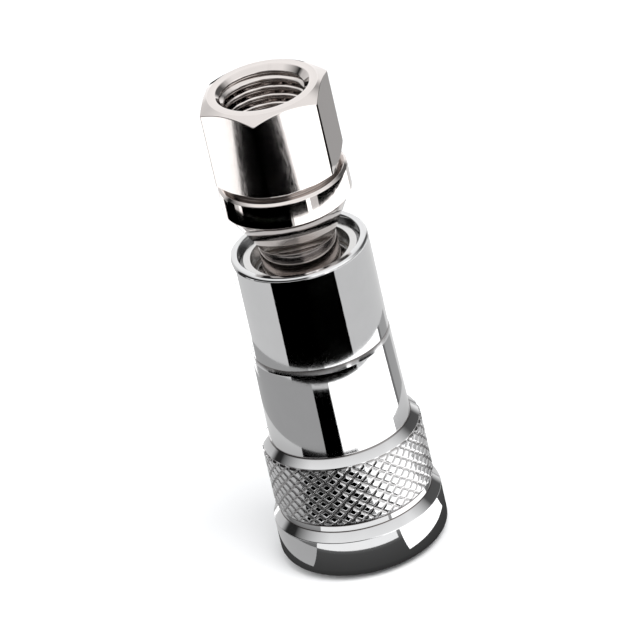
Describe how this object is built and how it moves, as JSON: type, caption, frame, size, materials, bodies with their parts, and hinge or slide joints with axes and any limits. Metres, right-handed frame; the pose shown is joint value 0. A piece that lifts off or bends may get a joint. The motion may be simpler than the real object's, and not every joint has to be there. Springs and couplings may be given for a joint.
{
  "type": "quick disconnect coupler",
  "caption": "Chromed air-line quick disconnect coupler: hexagonal female threaded end, round collar and neck, and a long sliding sleeve with a knurled front band.",
  "frame": {"origin": "centre of the mouth face, which the plug enters and the part stands on", "axes": "+Z along the coupler's axis from the mouth to the threaded rear port; two corners of the hexagon lie on the Y axis"},
  "size_m": [0.0247, 0.0246, 0.0751],
  "materials": {
    "chromed_sleeve": "polished",
    "plated_adapter": "polished",
    "plated_body": "satin",
    "spring_steel": "satin",
    "ring_steel": "phosphated",
    "ball_steel": "polished",
    "brass": "turned",
    "black_rubber": "matte"
  },
  "bodies": {
    "socket": {"rear_adapter": "plated_adapter", "joint_seal": "black_rubber", "socket_body": "plated_body", "plug_seal": "black_rubber", "valve_seat_ring": "brass", "valve_guide": "brass", "snap_ring": "ring_steel", "sleeve_spring": "spring_steel", "valve_spring": "spring_steel"},
    "washer": {"thrust_washer": "spring_steel"},
    "sleeve": {"sleeve": "chromed_sleeve"},
    "poppet": {"valve_poppet": "brass", "valve_seal": "black_rubber"},
    "ball_1": {"lock_ball_1": "ball_steel"},
    "ball_2": {"lock_ball_2": "ball_steel"},
    "ball_3": {"lock_ball_3": "ball_steel"},
    "ball_4": {"lock_ball_4": "ball_steel"},
    "ball_5": {"lock_ball_5": "ball_steel"},
    "ball_6": {"lock_ball_6": "ball_steel"},
    "ball_7": {"lock_ball_7": "ball_steel"},
    "ball_8": {"lock_ball_8": "ball_steel"}
  },
  "joints": [
    {"name": "sleeve_slide", "type": "slide", "parent": "socket", "child": "washer", "axis": [0, 0, 1], "range_m": [0, 0.005], "stiffness_N_per_m": 1500, "springref_m": -0.008, "deforming": ["sleeve_spring"]},
    {"name": "sleeve_spin", "type": "hinge", "parent": "washer", "child": "sleeve", "pos_m": [0, 0, 0.03], "axis": [0, 0, 1], "continuous": true},
    {"name": "valve_slide", "type": "slide", "parent": "socket", "child": "poppet", "axis": [0, 0, 1], "range_m": [0, 0.0045], "stiffness_N_per_m": 600, "springref_m": -0.006, "deforming": ["valve_spring"]},
    {"name": "ball_1_slide", "type": "slide", "parent": "socket", "child": "ball_1", "axis": [0.9239, 0.3827, 0], "range_m": [0, 0.00075]},
    {"name": "ball_2_slide", "type": "slide", "parent": "socket", "child": "ball_2", "axis": [0.3827, 0.9239, 0], "range_m": [0, 0.00075]},
    {"name": "ball_3_slide", "type": "slide", "parent": "socket", "child": "ball_3", "axis": [-0.3827, 0.9239, 0], "range_m": [0, 0.00075]},
    {"name": "ball_4_slide", "type": "slide", "parent": "socket", "child": "ball_4", "axis": [-0.9239, 0.3827, 0], "range_m": [0, 0.00075]},
    {"name": "ball_5_slide", "type": "slide", "parent": "socket", "child": "ball_5", "axis": [-0.9239, -0.3827, 0], "range_m": [0, 0.00075]},
    {"name": "ball_6_slide", "type": "slide", "parent": "socket", "child": "ball_6", "axis": [-0.3827, -0.9239, 0], "range_m": [0, 0.00075]},
    {"name": "ball_7_slide", "type": "slide", "parent": "socket", "child": "ball_7", "axis": [0.3827, -0.9239, 0], "range_m": [0, 0.00075]},
    {"name": "ball_8_slide", "type": "slide", "parent": "socket", "child": "ball_8", "axis": [0.9239, -0.3827, 0], "range_m": [0, 0.00075]}
  ],
  "couplings": [
    {"joint": "ball_1_slide", "follows": "sleeve_slide", "ratio": 0.15},
    {"joint": "ball_2_slide", "follows": "sleeve_slide", "ratio": 0.15},
    {"joint": "ball_3_slide", "follows": "sleeve_slide", "ratio": 0.15},
    {"joint": "ball_4_slide", "follows": "sleeve_slide", "ratio": 0.15},
    {"joint": "ball_5_slide", "follows": "sleeve_slide", "ratio": 0.15},
    {"joint": "ball_6_slide", "follows": "sleeve_slide", "ratio": 0.15},
    {"joint": "ball_7_slide", "follows": "sleeve_slide", "ratio": 0.15},
    {"joint": "ball_8_slide", "follows": "sleeve_slide", "ratio": 0.15}
  ]
}
